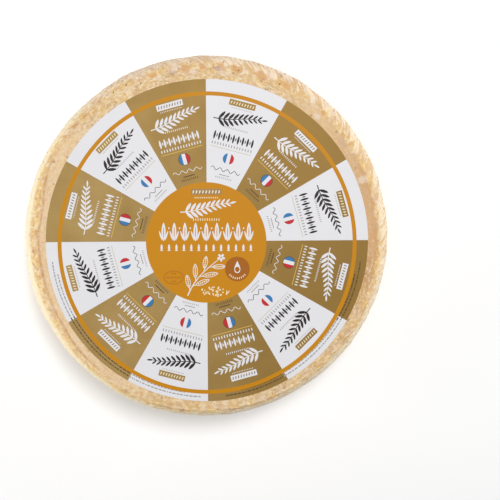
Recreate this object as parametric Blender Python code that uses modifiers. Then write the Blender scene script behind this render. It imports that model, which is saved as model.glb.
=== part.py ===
"""A whole wheel of raclette cheese lying flat, with its round paper label on top.

Two solids: the cheese with its pressed, lumpy rind, and the thin paper label.
+Z is up along the wheel's axis, +Y points to the top of the label, and the origin is under the
wheel's centre, on the surface that it rests on.
"""

import math

import bmesh
import bpy
from mathutils import Vector, noise

MM = 0.001

# Driving dimensions of the cheese.
WHEEL_RADIUS = 150 * MM
WHEEL_HEIGHT = 75 * MM
SIDE_BULGE = 0.9 * MM  # how far the side bows out beyond a plain cylinder
TOP_EDGE_WIDTH = 13.0 * MM  # the rounded top edge, measured inwards
TOP_EDGE_DROP = 15.0 * MM  # and downwards
TOP_EDGE_START = 9  # degrees of its quarter turn that the crease cuts off
BASE_EDGE_WIDTH = 12.0 * MM  # the longer, softer taper at the base
BASE_EDGE_RISE = 23.0 * MM
OVAL = 0.45 * MM  # how far the wheel is out of round, across two directions
SQUARENESS = 0.25 * MM  # and across four

# The crease that the press lid leaves where the flat top meets the rounded edge.
CREASE_RADIUS = WHEEL_RADIUS - TOP_EDGE_WIDTH - 0.4 * MM
CREASE_DEPTH = 1.1 * MM
CREASE_WIDTH = 1.0 * MM
# How many millimetres it strays outside that circle, every 10 degrees clockwise from the label's top.
CREASE_STRAYS = (
    (-2.2, -3.0, -3.2, -3.0, -1.3, -1.8, -2.2, -0.7, -0.8, 0.1, 0.3, 0.5)
    + (0.8, 1.2, 1.6, 2.0, 2.5, 2.8, 3.0, 3.1, 3.1, 2.8, 2.0, 1.2)
    + (-0.6, -0.8, -1.1, -1.4, -2.5, 0.7, 2.3, 1.5, 0.7, 0.3, -0.8, -1.3)
)
CREASE_QUIVER = 0.7 * MM  # and the small strays between those places
CREASE_QUIVERS = 8.5  # how many of them there are for each radian of the wheel
CREASE_FADES = 5.2  # changes of its depth for each radian
CREASE_MEAN = 0.55  # its depth as a share of the full depth, on average
CREASE_VARIES = 0.65
CREASE_REACH = 4.0 * MM  # how far from it the surface's rings bend to follow it
LIP_HEIGHT = 0.7 * MM
LIP_WIDTH = 1.5 * MM
LIP_OFFSET = 1.7 * MM  # the lip stands this far outside the crease

# The unevenness of the rind.
LUMP_HEIGHT = 0.75 * MM
LUMP_LENGTH = 26 * MM
KNOB_HEIGHT = 0.45 * MM
KNOB_LENGTH = 9 * MM
KNOB_PLACE = Vector((3.0, 7.0, 1.0))  # shifts the knobs' noise away from that of the lumps
FOOT_HEIGHT = 14 * MM  # the unevenness fades out over this height, so that the base stays flat

# Slow waves of the flat top, which the label follows: share of the height, heading in degrees,
# length along the heading for one radian, and phase.
TOP_SWELL = 0.30 * MM
SWELL_WAVES = ((0.6, 25, 30 * MM, 0.8), (0.4, 118, 24 * MM, 2.0))

# The paper label.
LABEL_RADIUS = 130 * MM
LABEL_MIDDLE = (0.6 * MM, -3.2 * MM)  # it was laid on by hand, a little off the wheel's middle
LABEL_REACH = LABEL_RADIUS + 3.4 * MM  # the top is smooth under it, out to here
LABEL_FADE = 5 * MM  # and as uneven as the rest of the rind this much further out
LABEL_THICKNESS = 0.3 * MM
LABEL_GAP = 0.3 * MM

# How finely the shapes are cut.
WHEEL_SEGMENTS = 176
LABEL_SEGMENTS = 96
TOP_RINGS = (0.0, 0.25, 0.5, 0.75, 0.94)  # shares of the label's radius
MARGIN_RINGS = (4.6 * MM, 2.2 * MM, 1.0 * MM, 0.0)  # distances inside the crease
EDGE_STEPS = 6
SIDE_STEPS = 4
WELD = 0.01 * MM

RIND_COLOUR = (0.74, 0.52, 0.27, 1.0)
PAPER_COLOUR = (0.83, 0.83, 0.84, 1.0)


def clear_scene():
    for old in list(bpy.data.objects):
        bpy.data.objects.remove(old, do_unlink=True)


def smooth_step(low, high, value):
    """0 below low, 1 above high, and a smooth rise between them."""
    share = min(1.0, max(0.0, (value - low) / (high - low)))
    return share * share * (3.0 - 2.0 * share)


def hump(distance, width):
    """1 at no distance, falling off smoothly over the width."""
    return math.exp(-((distance / width) ** 2))


def plain_material(name, colour, roughness):
    material = bpy.data.materials.new(name)
    material.use_nodes = True
    shader = material.node_tree.nodes["Principled BSDF"]
    shader.inputs["Base Color"].default_value = colour
    shader.inputs["Roughness"].default_value = roughness
    shader.inputs["Metallic"].default_value = 0.0
    return material


def top_swell(x, y):
    """Height of the slow waves of the flat top at a point."""
    height = 0.0
    for share, heading, length, phase in SWELL_WAVES:
        along = x * math.cos(math.radians(heading)) + y * math.sin(math.radians(heading))
        height += share * math.sin(along / length + phase)
    return TOP_SWELL * height


def round_noise(angle, changes, place):
    """Noise that closes on itself round the wheel, from about -0.7 to 0.7."""
    return noise.noise(Vector((changes * math.cos(angle), changes * math.sin(angle), place)))


def crease_radius(angle):
    """The crease isn't a true circle: it wanders in and out round the wheel."""
    count = len(CREASE_STRAYS)
    steps = (math.pi / 2 - angle) % (2 * math.pi) / (2 * math.pi) * count
    place = int(steps)
    share = steps - place
    before, first, second, after = (CREASE_STRAYS[(place + k) % count] for k in (-1, 0, 1, 2))
    cubic = share * (3 * (first - second) + after - before)
    square = share * (2 * before - 5 * first + 4 * second - after + cubic)
    stray = first + 0.5 * share * (second - before + square)
    return CREASE_RADIUS + stray * MM + CREASE_QUIVER * round_noise(angle, CREASE_QUIVERS, 9.0)


def crease_relief(radius, angle):
    """Height of the crease and of the lip outside it, above the plain profile."""
    out = radius - crease_radius(angle)
    strength = CREASE_MEAN + CREASE_VARIES * round_noise(angle, CREASE_FADES, 2.0)
    groove = CREASE_DEPTH * hump(out, CREASE_WIDTH)
    lip = LIP_HEIGHT * hump(out - LIP_OFFSET, LIP_WIDTH)
    return strength * (lip - groove)


def out_of_round(angle):
    """The wheel is a little wider across some directions than across others."""
    return OVAL * math.sin(2 * angle + 0.6) + SQUARENESS * math.sin(4 * angle + 2.1)


def wheel_profile():
    """Radius and height from the middle of the top, out and down the side, to the middle of the base."""
    flat_top = WHEEL_RADIUS - TOP_EDGE_WIDTH
    flat_base = WHEEL_RADIUS - BASE_EDGE_WIDTH
    straight = WHEEL_RADIUS - SIDE_BULGE
    upper = WHEEL_HEIGHT - TOP_EDGE_DROP
    points = [(share * LABEL_RADIUS, WHEEL_HEIGHT) for share in TOP_RINGS]
    points += [(CREASE_RADIUS - inside, WHEEL_HEIGHT) for inside in MARGIN_RINGS]
    for step in range(EDGE_STEPS + 1):
        turn = math.radians(TOP_EDGE_START + (90 - TOP_EDGE_START) * step / EDGE_STEPS)
        radius = flat_top + (straight - flat_top) * math.sin(turn)
        points.append((radius, upper + TOP_EDGE_DROP * math.cos(turn)))
    for step in range(1, SIDE_STEPS):
        share = step / SIDE_STEPS
        radius = straight + SIDE_BULGE * math.sin(math.pi * share)
        points.append((radius, upper + (BASE_EDGE_RISE - upper) * share))
    for step in range(EDGE_STEPS + 1):
        turn = math.radians(90 * step / EDGE_STEPS)
        radius = flat_base + (straight - flat_base) * math.cos(turn)
        points.append((radius, BASE_EDGE_RISE * (1 - math.sin(turn))))
    points.append((0.0, 0.0))
    return points


def turned_mesh(name, profile, segments):
    """A mesh turned from a profile in the XZ plane, with its points on the axis welded."""
    mesh = bpy.data.meshes.new(name + "_profile")
    mesh.from_pydata(
        [(radius, 0.0, height) for radius, height in profile],
        [(step, step + 1) for step in range(len(profile) - 1)],
        [],
    )
    guide = bpy.data.objects.new(name + "_guide", mesh)
    bpy.context.scene.collection.objects.link(guide)
    screw = guide.modifiers.new("Turn", "SCREW")
    screw.axis = "Z"
    screw.steps = segments
    screw.render_steps = segments
    screw.use_merge_vertices = True
    screw.merge_threshold = WELD
    graph = bpy.context.evaluated_depsgraph_get()
    turned = bpy.data.meshes.new_from_object(guide.evaluated_get(graph))
    turned.name = name
    bpy.data.objects.remove(guide, do_unlink=True)
    shape = bmesh.new()
    shape.from_mesh(turned)
    bmesh.ops.remove_doubles(shape, verts=shape.verts, dist=WELD)
    bmesh.ops.recalc_face_normals(shape, faces=shape.faces)
    shape.to_mesh(turned)
    shape.free()
    return turned


def rind_shift(point, normal):
    """How far a point of the plain turned wheel moves to give the real, uneven rind."""
    radius = math.hypot(point.x, point.y)
    angle = math.atan2(point.y, point.x)
    off_the_foot = smooth_step(0.0, FOOT_HEIGHT, point.z)
    off_the_label = smooth_step(LABEL_REACH, LABEL_REACH + LABEL_FADE, radius)
    lumps = LUMP_HEIGHT * noise.noise(point / LUMP_LENGTH)
    knobs = KNOB_HEIGHT * noise.noise(point / KNOB_LENGTH + KNOB_PLACE)
    shift = normal * ((lumps + knobs) * off_the_label * off_the_foot)
    outward = Vector((math.cos(angle), math.sin(angle), 0.0))
    shift += outward * (out_of_round(angle) * off_the_label)
    if point.z > WHEEL_HEIGHT / 2:
        facing_up = max(0.0, normal.z)
        shift.z += crease_relief(radius, angle) * facing_up
        shift.z += top_swell(point.x, point.y) * (1.0 - off_the_label) * facing_up
    return shift


def follow_crease(point):
    """Moves a turned point of the rim in or out, so that the rings of the mesh run along the crease."""
    radius = math.hypot(point.x, point.y)
    angle = math.atan2(point.y, point.x)
    if point.z < WHEEL_HEIGHT / 2 or radius < LABEL_RADIUS:
        return point
    near = hump(radius - CREASE_RADIUS, CREASE_REACH)
    moved = radius + (crease_radius(angle) - CREASE_RADIUS) * near
    return Vector((moved * math.cos(angle), moved * math.sin(angle), point.z))


def cheese_wheel(collection):
    mesh = turned_mesh("cheese_wheel", wheel_profile(), WHEEL_SEGMENTS)
    normals = [vertex.normal.copy() for vertex in mesh.vertices]
    for vertex, normal in zip(mesh.vertices, normals):
        place = follow_crease(vertex.co)
        vertex.co = place + rind_shift(place, normal)
    mesh.shade_smooth()
    mesh.materials.append(plain_material("rind", RIND_COLOUR, 0.75))
    wheel = bpy.data.objects.new("cheese_wheel", mesh)
    collection.objects.link(wheel)


def paper_label(collection):
    """A thin disc that follows the slow waves of the top, just clear of it."""
    rings = [(share * LABEL_RADIUS, WHEEL_HEIGHT + LABEL_GAP) for share in TOP_RINGS + (1.0,)]
    mesh = turned_mesh("paper_label", rings, LABEL_SEGMENTS)
    if mesh.polygons[0].normal.z < 0:
        mesh.flip_normals()
    for vertex in mesh.vertices:
        vertex.co.x += LABEL_MIDDLE[0]
        vertex.co.y += LABEL_MIDDLE[1]
        vertex.co.z += top_swell(vertex.co.x, vertex.co.y)
    mesh.materials.append(plain_material("printed_paper", PAPER_COLOUR, 0.5))
    label = bpy.data.objects.new("paper_label", mesh)
    collection.objects.link(label)
    thick = label.modifiers.new("Thickness", "SOLIDIFY")
    thick.thickness = LABEL_THICKNESS
    thick.offset = 1.0


def main():
    clear_scene()
    collection = bpy.data.collections.new("raclette_wheel")
    bpy.context.scene.collection.children.link(collection)
    cheese_wheel(collection)
    paper_label(collection)


main()
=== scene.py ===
"""A whole wheel of raclette lying on a white table with its round printed label up.

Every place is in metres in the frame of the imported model: +Z is up along the wheel's axis, +Y points
to the top of the label, and the table is at height 0.
"""

import random
from math import asin, atan2, cos, degrees, exp, hypot, pi, radians, sin, sqrt

import bmesh
import bpy
from mathutils import Matrix, Vector, noise
from mathutils.geometry import delaunay_2d_cdt


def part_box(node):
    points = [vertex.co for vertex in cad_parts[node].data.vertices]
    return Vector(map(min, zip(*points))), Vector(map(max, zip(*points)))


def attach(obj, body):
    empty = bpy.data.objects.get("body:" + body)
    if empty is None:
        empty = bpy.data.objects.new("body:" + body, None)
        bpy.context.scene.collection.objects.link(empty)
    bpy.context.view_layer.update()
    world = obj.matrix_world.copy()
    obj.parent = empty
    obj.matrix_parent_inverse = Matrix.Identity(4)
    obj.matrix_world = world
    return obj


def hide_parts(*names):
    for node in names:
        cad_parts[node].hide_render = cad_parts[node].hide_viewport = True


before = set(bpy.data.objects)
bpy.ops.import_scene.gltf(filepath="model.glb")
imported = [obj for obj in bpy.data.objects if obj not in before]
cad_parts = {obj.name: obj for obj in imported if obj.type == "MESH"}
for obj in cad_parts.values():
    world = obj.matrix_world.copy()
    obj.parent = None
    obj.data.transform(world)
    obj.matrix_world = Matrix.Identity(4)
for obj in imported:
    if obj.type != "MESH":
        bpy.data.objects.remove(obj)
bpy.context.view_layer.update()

# The table and the light. A seamless white sheet in a bright room. One soft lamp high over the label's
# upper right throws the wheel's shadow down and to the left, one nearly overhead fills it in, and two
# low ones at the sides light the steep part of the rind.
MM = 0.001
TABLE_SIZE = 6.0
TABLE_WHITE = (0.94, 0.94, 0.94, 1.0)
TABLE_GLOW = 0.10  # keeps the sheet white where the photograph has burnt it out
ROOM_LIGHT = 0.25
LAMPS = (  # place in metres, width in metres, power in watts
    ("key_lamp", (0.19, 0.45, 1.40), 0.36, 11.6),
    ("sheen_lamp", (-0.29, -0.13, 1.15), 0.36, 1.5),
    ("left_lamp", (-0.97, -0.28, 0.24), 0.50, 4.2),
    ("right_lamp", (1.00, 0.16, 0.24), 0.50, 2.9),
)


def put(name, thing):
    """Stands a mesh, a light or a lens in the scene."""
    holder = bpy.data.objects.new(name, thing)
    bpy.context.scene.collection.objects.link(holder)
    return holder


def lamp(name, place, size, power):
    """A square soft lamp that faces the wheel."""
    light = bpy.data.lights.new(name, "AREA")
    light.shape = "SQUARE"
    light.size = size
    light.energy = power
    holder = put(name, light)
    holder.location = place
    holder.rotation_euler = Vector(place).to_track_quat("Z", "Y").to_euler()


table_mesh = bpy.data.meshes.new("table")
table_shape = bmesh.new()
bmesh.ops.create_grid(table_shape, x_segments=1, y_segments=1, size=TABLE_SIZE / 2)
table_shape.to_mesh(table_mesh)
table_shape.free()
table = put("table", table_mesh)
sheet = bpy.data.materials.new("white_sheet")
sheet.use_nodes = True
sheet_shader = sheet.node_tree.nodes["Principled BSDF"]
sheet_shader.inputs["Base Color"].default_value = TABLE_WHITE
sheet_shader.inputs["Roughness"].default_value = 0.9
sheet_shader.inputs["Emission Color"].default_value = (1.0, 1.0, 1.0, 1.0)
sheet_shader.inputs["Emission Strength"].default_value = TABLE_GLOW
table_mesh.materials.append(sheet)

for name, place, size, power in LAMPS:
    lamp(name, place, size, power)
room = bpy.data.worlds.new("room")
room.use_nodes = True
room.node_tree.nodes["Background"].inputs["Color"].default_value = (1.0, 1.0, 1.0, 1.0)
room.node_tree.nodes["Background"].inputs["Strength"].default_value = ROOM_LIGHT
bpy.context.scene.world = room
bpy.context.scene.view_settings.view_transform = "Standard"

# The camera. It looks straight down on the wheel from just over its middle, and it holds the wheel left
# of the frame's middle as the photograph does.
FRAME_SIDE = 500  # pixels of the square photograph
FOCAL_LENGTH = 697.6  # pixels
EYE_DISTANCE = 600 * MM
EYE_LEAN = radians(1.7)  # towards the top of the label
EYE_SIDE = radians(0.3)  # towards its right
WHEEL_IN_FRAME = (206.2, 235.9)  # the pixel that shows the wheel's middle

wheel_low, wheel_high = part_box("cheese_wheel")
middle = Vector((0.0, 0.0, (wheel_low.z + wheel_high.z) / 2))
back = Vector((sin(EYE_SIDE), sin(EYE_LEAN), 0.0))
back.z = sqrt(1.0 - back.length_squared)
upward = (Vector((0.0, 1.0, 0.0)) - back * back.y).normalized()
turned = Matrix((upward.cross(back), upward, back)).transposed()
lens = bpy.data.cameras.new("camera")
lens.sensor_width = 36.0
lens.lens = lens.sensor_width * FOCAL_LENGTH / FRAME_SIDE
lens.shift_x = 0.5 - WHEEL_IN_FRAME[0] / FRAME_SIDE
lens.shift_y = WHEEL_IN_FRAME[1] / FRAME_SIDE - 0.5
lens.clip_start = 10 * MM
camera = put("camera", lens)
camera.matrix_world = Matrix.Translation(middle + back * EYE_DISTANCE) @ turned.to_4x4()
bpy.context.scene.camera = camera

# The cheese. One pressed, brine-washed wheel: a flat top that the press lid ends in a crease, a rounded
# edge of torn and flattened curd, a side ribbed by the mould's coarse cloth, and a softer taper at the
# base. Turned finely from the wheel's profile, then every point is moved by the rind's relief.
WHEEL_RADIUS = 150 * MM
WHEEL_HEIGHT = 75 * MM
SIDE_BULGE = 0.9 * MM
TOP_EDGE_WIDTH = 13.0 * MM
TOP_EDGE_DROP = 15.0 * MM
TOP_EDGE_START = 9
BASE_EDGE_WIDTH = 12.0 * MM
BASE_EDGE_RISE = 23.0 * MM
OVAL = 0.45 * MM
SQUARENESS = 0.25 * MM
CREASE_RADIUS = WHEEL_RADIUS - TOP_EDGE_WIDTH - 0.4 * MM
CREASE_DEPTH = 0.9 * MM
CREASE_WIDTH = 1.3 * MM
# How many millimetres it strays outside that circle, every 10 degrees clockwise from the label's top.
CREASE_STRAYS = (
    (-2.2, -3.0, -3.2, -3.0, -1.3, -1.8, -2.2, -0.7, -0.8, 0.1, 0.3, 0.5)
    + (0.8, 1.2, 1.6, 2.0, 2.5, 2.8, 3.0, 3.1, 3.1, 2.8, 2.0, 1.2)
    + (-0.6, -0.8, -1.1, -1.4, -2.5, 0.7, 2.3, 1.5, 0.7, 0.3, -0.8, -1.3)
)
CREASE_QUIVER = 0.7 * MM
CREASE_QUIVERS = 8.5
CREASE_FADES = 5.2
CREASE_MEAN = 0.55
CREASE_VARIES = 0.65
CREASE_REACH = 4.0 * MM
LIP_HEIGHT = 0.7 * MM
LIP_WIDTH = 1.5 * MM
LIP_OFFSET = 1.7 * MM
LUMP_HEIGHT = 0.75 * MM
LUMP_LENGTH = 26 * MM
KNOB_HEIGHT = 0.45 * MM
KNOB_LENGTH = 9 * MM
KNOB_PLACE = Vector((3.0, 7.0, 1.0))
FOOT_HEIGHT = 14 * MM
TOP_SWELL = 0.30 * MM
SWELL_WAVES = ((0.6, 25, 30 * MM, 0.8), (0.4, 118, 24 * MM, 2.0))
label_low, label_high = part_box("paper_label")
LABEL_MIDDLE = (label_low + label_high) / 2
LABEL_RADIUS = (label_high.x - label_low.x) / 2
LABEL_REACH = LABEL_RADIUS + 3.4 * MM
LABEL_FADE = 5 * MM

# The finer relief, which only the finished surface has.
RIB_COUNT = 242  # one about every 3.9 mm of the wheel's girth
RIB_PITCH = 3.9 * MM
RIB_DEPTH = 0.60 * MM
RIB_SINK = 0.2 * MM  # the cloth pressed the whole ribbed part in by this much
RIB_LEAN = 0.85  # how far the ribs run clockwise for each step inwards over the rounded edge
RIB_SIDE_LEAN = 0.15  # and on the side
RIB_BEND = 11 * MM  # where the one turns into the other, measured over the surface from the crease
EDGE_END = 22 * MM  # the rounded edge ends this far from the crease
CURD_LENGTH = 4.3 * MM  # grains of curd, pressed together on the rounded edge
CURD_STRETCH = 1.7  # they lie this much longer along the rim
CURD_DEPTH = 0.50 * MM
TEAR_DEPTH = 0.35 * MM
TEAR_LENGTH = 5.5 * MM
PIT_DEPTH = 0.7 * MM
PIT_SPACING = 6.0 * MM
GRIT_HEIGHT = 0.26 * MM
GRIT_LENGTH = 2.4 * MM
TAN_DEPTH = 0.35 * MM  # the lid flattened these patches
GOLD_HEIGHT = 0.35 * MM  # and these lumps rose beside its edge
PATCHES_END = 15 * MM  # there are none farther than this from the crease
WHEEL_SEGMENTS = 940
INNER_RADIUS = LABEL_RADIUS - 5 * MM  # inside this the top is covered, and coarser
# Noises are sums of waves, each with a height and a length.
RIB_WAVER = ((1.1, 17 * MM), (0.7, 6 * MM))
RIB_NICKS = ((0.3, 2.5 * MM),)
PATCH_RAGS = ((0.5, 2.2 * MM), (0.3, 1.0 * MM))
MARGIN_RIPPLES = ((0.14 * MM, 4 * MM),)

# The parts of the rim that differ: the middle of each in degrees clockwise from the label's top, and how
# many degrees to either side it still is at its full strength and ends.
ZONES = {
    # At top the rounded edge is painted darker and pinker, as painted shade.
    "top": (1, 28, 52),
    # At left the rounded edge and the margin are painted paler, as painted light.
    "left": (-103, 34, 68),
    "ribbed": (52, 34, 62),
    "creased": (-101, 30, 52),
    "half_creased": (80, 15, 32),
    "chain": (-112, 42, 74),
    "stroke": (46, 40, 68),
    "smooth": (64, 22, 42),
    "brown": (87, 10, 42),
}

# Patches of the rounded edge and the margin: degrees clockwise from the label's top, distance from the
# axis, half length and half width in millimetres, and strength.
PATCHES = {
    "tan": [
        (-54.5, 139.6, 1.9, 1.2, 0.9), (-49.8, 139.0, 2.2, 1.5, 0.9), (-45.0, 138.4, 3.0, 1.3, 0.7),
        (-40.0, 138.6, 4.4, 1.8, 0.5), (-23.0, 137.2, 1.6, 2.0, 0.5), (-18.3, 137.0, 3.5, 2.2, 0.9),
        (-13.4, 138.6, 2.2, 1.5, 0.5), (-6.8, 136.8, 3.4, 2.9, 1.0), (-1.2, 137.3, 2.8, 2.2, 0.85),
        (4.6, 138.4, 3.2, 2.4, 0.85), (10.3, 137.3, 5.0, 2.3, 0.95), (18.8, 137.3, 5.2, 2.7, 1.0),
        (27.5, 137.4, 6.0, 2.3, 0.8), (34.5, 136.6, 3.4, 1.7, 0.5), (43.3, 137.2, 2.3, 1.4, 1.0),
        (47.5, 136.4, 3.0, 1.0, 0.6), (53.3, 137.6, 2.3, 1.7, 0.9), (57.0, 138.0, 1.7, 1.9, 0.75),
        (89.5, 134.4, 5.0, 1.8, 0.6),
    ],
    "mauve": [
        (-62.5, 141.2, 3.0, 1.5, 0.4), (-38.0, 137.6, 2.2, 1.0, 0.4), (-11.5, 134.8, 3.4, 2.6, 0.55),
        (-9.6, 139.0, 1.4, 0.9, 0.8), (4.0, 135.8, 2.8, 1.8, 0.75), (24.6, 144.0, 2.0, 2.4, 0.45),
        (55.0, 133.6, 5.0, 2.6, 0.3),
    ],
    "pale": [
        (-28.0, 134.5, 4.0, 2.0, 0.4), (-16.0, 133.2, 3.6, 2.2, 0.45), (-10.5, 138.6, 3.0, 2.4, 0.7),
        (-4.4, 133.6, 3.0, 2.0, 0.6), (5.5, 132.2, 4.0, 1.2, 0.45), (42.6, 131.8, 3.0, 2.0, 0.8),
        (69.8, 134.0, 2.6, 3.6, 0.8), (82.0, 137.0, 2.6, 1.2, 0.5),
    ],
    "gold": [],  # strewn below
}


def smooth_step(low, high, value):
    """0 at low, 1 at high, and a smooth change between them."""
    share = min(1.0, max(0.0, (value - low) / (high - low)))
    return share * share * (3.0 - 2.0 * share)


def hump(distance, width):
    """1 at no distance, falling off smoothly over the width."""
    return exp(-((distance / width) ** 2))


def top_swell(x, y):
    """Height of the slow waves of the flat top at a point."""
    height = 0.0
    for share, heading, length, phase in SWELL_WAVES:
        along = x * cos(radians(heading)) + y * sin(radians(heading))
        height += share * sin(along / length + phase)
    return TOP_SWELL * height


def round_noise(angle, changes, place):
    """Noise that closes on itself round the wheel, from about -0.7 to 0.7."""
    return noise.noise(Vector((changes * cos(angle), changes * sin(angle), place)))


def crease_radius(angle):
    """The crease isn't a true circle: it wanders in and out round the wheel."""
    count = len(CREASE_STRAYS)
    steps = (pi / 2 - angle) % (2 * pi) / (2 * pi) * count
    place = int(steps)
    share = steps - place
    before, first, second, after = (CREASE_STRAYS[(place + k) % count] for k in (-1, 0, 1, 2))
    cubic = share * (3 * (first - second) + after - before)
    square = share * (2 * before - 5 * first + 4 * second - after + cubic)
    stray = first + 0.5 * share * (second - before + square)
    return CREASE_RADIUS + stray * MM + CREASE_QUIVER * round_noise(angle, CREASE_QUIVERS, 9.0)


def crease_strength(angle):
    return CREASE_MEAN + CREASE_VARIES * round_noise(angle, CREASE_FADES, 2.0)


def crease_relief(radius, angle):
    """Height of the crease and of the lip outside it, above the plain profile."""
    out = radius - crease_radius(angle)
    valley_tint_and_painted_shade = CREASE_DEPTH * hump(out, CREASE_WIDTH)
    lip = LIP_HEIGHT * hump(out - LIP_OFFSET, LIP_WIDTH)
    return crease_strength(angle) * (lip - valley_tint_and_painted_shade)


def out_of_round(angle):
    """The wheel is a little wider across some directions than across others."""
    return OVAL * sin(2 * angle + 0.6) + SQUARENESS * sin(4 * angle + 2.1)


def follow_crease(point):
    """Moves a turned point of the rim in or out, so that the rings of the mesh run along the crease."""
    radius = hypot(point.x, point.y)
    angle = atan2(point.y, point.x)
    if point.z < WHEEL_HEIGHT / 2 or radius < LABEL_RADIUS:
        return point
    near = hump(radius - CREASE_RADIUS, CREASE_REACH)
    moved = radius + (crease_radius(angle) - CREASE_RADIUS) * near
    return Vector((moved * cos(angle), moved * sin(angle), point.z))


def rind_shift(point, normal):
    """How far a point of the plain turned wheel moves to give the uneven wheel."""
    radius = hypot(point.x, point.y)
    angle = atan2(point.y, point.x)
    off_the_foot = smooth_step(0.0, FOOT_HEIGHT, point.z)
    off_the_label = smooth_step(LABEL_REACH, LABEL_REACH + LABEL_FADE, radius)
    lumps = LUMP_HEIGHT * noise.noise(point / LUMP_LENGTH)
    knobs = KNOB_HEIGHT * noise.noise(point / KNOB_LENGTH + KNOB_PLACE)
    shift = normal * ((lumps + knobs) * off_the_label * off_the_foot)
    outward = Vector((cos(angle), sin(angle), 0.0))
    shift += outward * (out_of_round(angle) * off_the_label)
    if point.z > WHEEL_HEIGHT / 2:
        facing_up = max(0.0, normal.z)
        shift.z += crease_relief(radius, angle) * facing_up
        shift.z += top_swell(point.x, point.y) * (1.0 - off_the_label) * facing_up
    return shift


def quarter(centre, reach, first, last):
    """Points along an elliptic arc, from first to last degrees, where 0 is straight up."""
    steps = 120
    turns = [radians(first + (last - first) * step / steps) for step in range(steps + 1)]
    return [(centre[0] + reach[0] * sin(t), centre[1] + reach[1] * cos(t)) for t in turns]


def rim_line():
    """The wheel's profile as radius and height, from the covered top round to the edge of the base."""
    straight = WHEEL_RADIUS - SIDE_BULGE
    upper = WHEEL_HEIGHT - TOP_EDGE_DROP
    top_arc = quarter(
        (WHEEL_RADIUS - TOP_EDGE_WIDTH, upper),
        (TOP_EDGE_WIDTH - SIDE_BULGE, TOP_EDGE_DROP),
        TOP_EDGE_START,
        90,
    )
    side_steps = 60
    side = []
    for step in range(1, side_steps):
        share = step / side_steps
        radius = straight + SIDE_BULGE * sin(pi * share)
        side.append((radius, upper + (BASE_EDGE_RISE - upper) * share))
    base_arc = quarter(
        (WHEEL_RADIUS - BASE_EDGE_WIDTH, BASE_EDGE_RISE),
        (BASE_EDGE_WIDTH - SIDE_BULGE, BASE_EDGE_RISE),
        90,
        180,
    )
    return [(INNER_RADIUS, WHEEL_HEIGHT), (CREASE_RADIUS, WHEEL_HEIGHT)] + top_arc + side + base_arc


def ring_spacing(radius, height):
    """The mesh is finest at the crease and the rounded edge, and coarser towards the base."""
    if height > WHEEL_HEIGHT - 1 * MM:
        return 0.85 * MM if abs(radius - CREASE_RADIUS) > 3 * MM else 0.5 * MM
    if height > WHEEL_HEIGHT - TOP_EDGE_DROP:
        return 0.72 * MM
    return 1.2 * MM if height > BASE_EDGE_RISE else 2.0 * MM


def spaced(line):
    """Points along a line at ring_spacing, each with the distance walked from the crease."""
    crease_at = CREASE_RADIUS - INNER_RADIUS
    found = [(line[0][0], line[0][1], -crease_at)]
    walked = 0.0
    last = 0.0
    for (r0, z0), (r1, z1) in zip(line, line[1:]):
        length = hypot(r1 - r0, z1 - z0)
        while last + ring_spacing(r0, z0) <= walked + length:
            last += ring_spacing(r0, z0)
            share = (last - walked) / length
            found.append((r0 + (r1 - r0) * share, z0 + (z1 - z0) * share, last - crease_at))
        walked += length
    found[-1] = (line[-1][0], line[-1][1], walked - crease_at)
    return found


def facing(clock, zone):
    """1 inside a zone of the rim, 0 away from it."""
    centre, full, end = ZONES[zone]
    away = abs((degrees(clock) - centre + 180) % 360 - 180)
    return smooth_step(end, full, away)


def ripples(point, waves):
    """Noise summed over waves of these heights and lengths."""
    return sum(height * noise.noise(point / length) for height, length in waves)


patch_dice = random.Random(41)
heading = 62.0
while heading < 296.0:
    beside = crease_radius(radians(90 - heading)) / MM + patch_dice.uniform(2.2, 4.0)
    long, wide = patch_dice.uniform(2.0, 4.6), patch_dice.uniform(1.0, 1.9)
    PATCHES["gold"].append((heading, beside, long, wide, patch_dice.uniform(0.3, 1.0)))
    if 104 < heading < 200 and patch_dice.random() < 0.4:
        PATCHES["tan"].append((heading + 2.0, beside + 1.0, 0.7 * long, wide, patch_dice.uniform(0.4, 0.9)))
    heading += patch_dice.uniform(2.0, 4.4)
near_patches = {kind: {} for kind in PATCHES}
for kind, found in PATCHES.items():
    for patch in found:
        for step in (-1, 0, 1):
            near_patches[kind].setdefault(int(patch[0] // 5 + step) % 72, []).append(patch)


def patch_cover(kind, clock, radius, ragged):
    """How strongly a patch of this kind covers a spot."""
    strongest = 0.0
    at = degrees(clock)
    for centre, middle, long, wide, strength in near_patches[kind].get(int(at // 5) % 72, ()):
        across = radians((at - centre + 180) % 360 - 180) * middle
        down = radius / MM - middle + 0.15 * across
        reach = abs(across / long) ** 3 + abs(down / wide) ** 3
        strongest = max(strongest, strength * smooth_step(1.35, 0.65, reach ** 0.5 + ragged))
    return strongest


class Spot:
    """A spot of the rind: where it lies, and how strongly each part of the rind and each patch holds it."""

    def __init__(self, point, normal, along):
        self.point = point
        self.along = along  # how far outwards from the crease, over the surface
        self.clock = atan2(point.x, point.y)
        self.angle = atan2(point.y, point.x)
        self.radius = hypot(point.x, point.y)
        self.outside = smooth_step(0.2 * MM, 2.0 * MM, along)
        self.margin = 1.0 - self.outside
        self.upper = 1.0 - smooth_step(EDGE_END - 4 * MM, EDGE_END + 6 * MM, along)
        self.under = smooth_step(-0.45, -0.9, normal.z)
        self.steep = (1.0 - smooth_step(0.72, 0.97, normal.z)) * (1.0 - self.under)
        self.base = smooth_step(-0.5, -0.95, normal.z)
        self.top = facing(self.clock, "top")
        self.left = facing(self.clock, "left") * self.upper
        self.patch = dict.fromkeys(PATCHES, 0.0)
        if along < PATCHES_END:
            ragged = ripples(point, PATCH_RAGS)
            self.patch = {kind: patch_cover(kind, self.clock, self.radius, ragged) for kind in PATCHES}
        self.free = 1.0 - max(self.patch["tan"], 0.5 * self.patch["gold"])


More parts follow.
